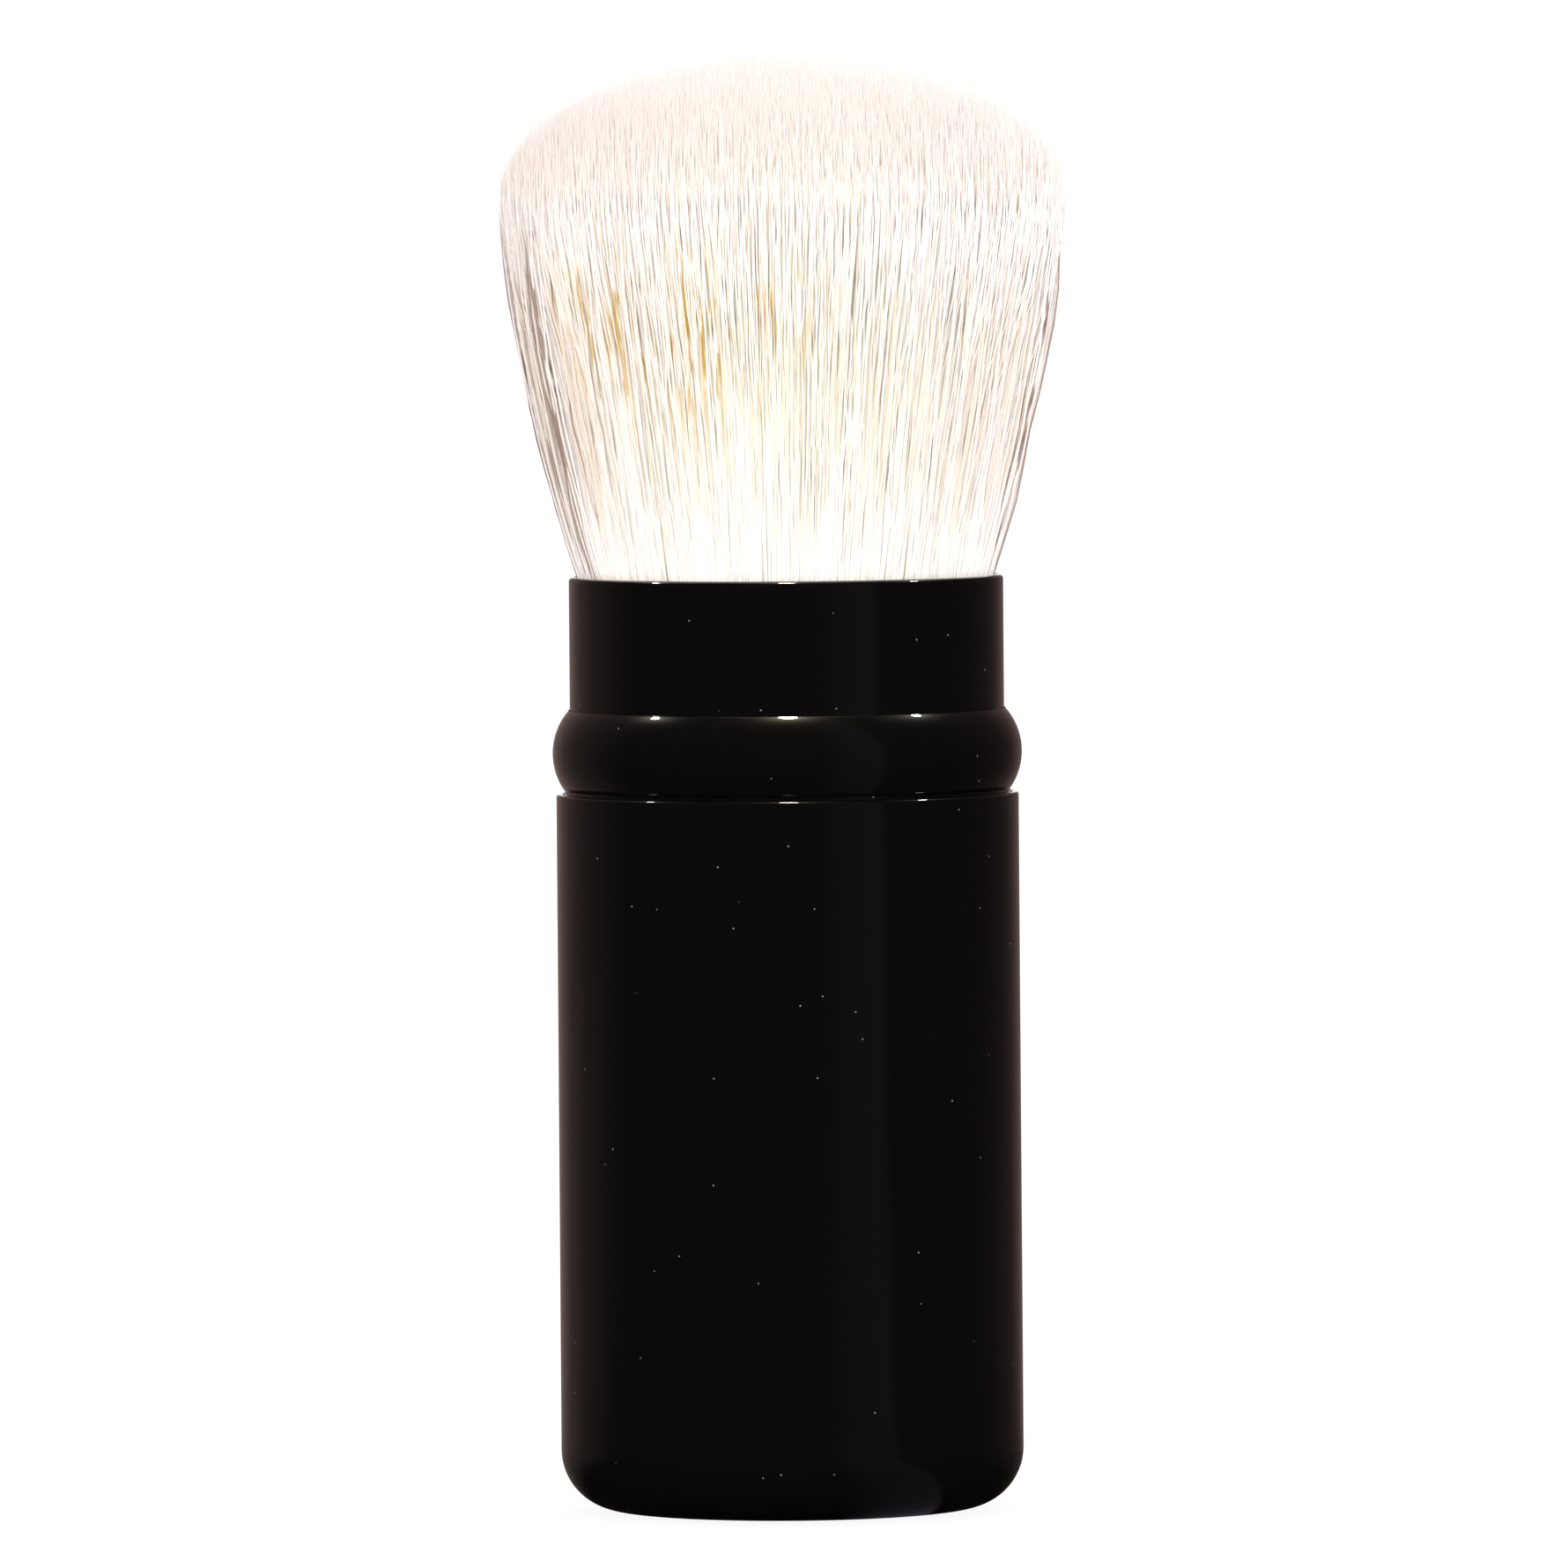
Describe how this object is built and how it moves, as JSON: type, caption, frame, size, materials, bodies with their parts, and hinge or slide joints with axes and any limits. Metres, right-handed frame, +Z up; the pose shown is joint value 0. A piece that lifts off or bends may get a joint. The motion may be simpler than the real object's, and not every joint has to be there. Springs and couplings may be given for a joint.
{
  "type": "retractable makeup brush",
  "caption": "Round domed powder brush on a black lacquered handle, with a sleeve that slides up over the bristles.",
  "frame": {"origin": "middle of the flat underside of the base shell", "axes": "+Z up along the brush's axis towards the hair; every round piece is turned about Z, and one of the post's keys points to +X"},
  "size_m": [0.04, 0.04, 0.1035],
  "materials": {
    "lacquer": "deep black high-gloss lacquer over drawn aluminium",
    "hair": "fine cream goat-type hair, slightly wavy, soft sheen",
    "ferrule": "bright drawn aluminium",
    "steel": "zinc-plated steel",
    "moulding": "natural moulded acetal, fine matt",
    "nylon": "natural nylon band",
    "rubber": "black nitrile rubber",
    "felt": "pressed grey felt"
  },
  "bodies": {
    "handle": {"base_shell": "lacquer", "base_weight": "steel", "bumper_ring": "felt", "post_screw": "steel", "brush_post": "moulding", "post_cap": "moulding", "ferrule": "ferrule", "ferrule_screw": "steel", "collar_ring": "lacquer", "guide_ring": "nylon", "bristle_core": "hair", "bristle_middle": "hair", "bristle_outer": "hair"},
    "sleeve": {"sliding_sleeve": "lacquer", "slider_bushing": "moulding", "slider_o_ring": "rubber"}
  },
  "joints": [
    {"name": "sleeve_slide", "type": "slide", "parent": "handle", "child": "sleeve", "axis": [0, 0, 1], "range_m": [0, 0.0379], "deforming": ["bristle_outer"]}
  ]
}
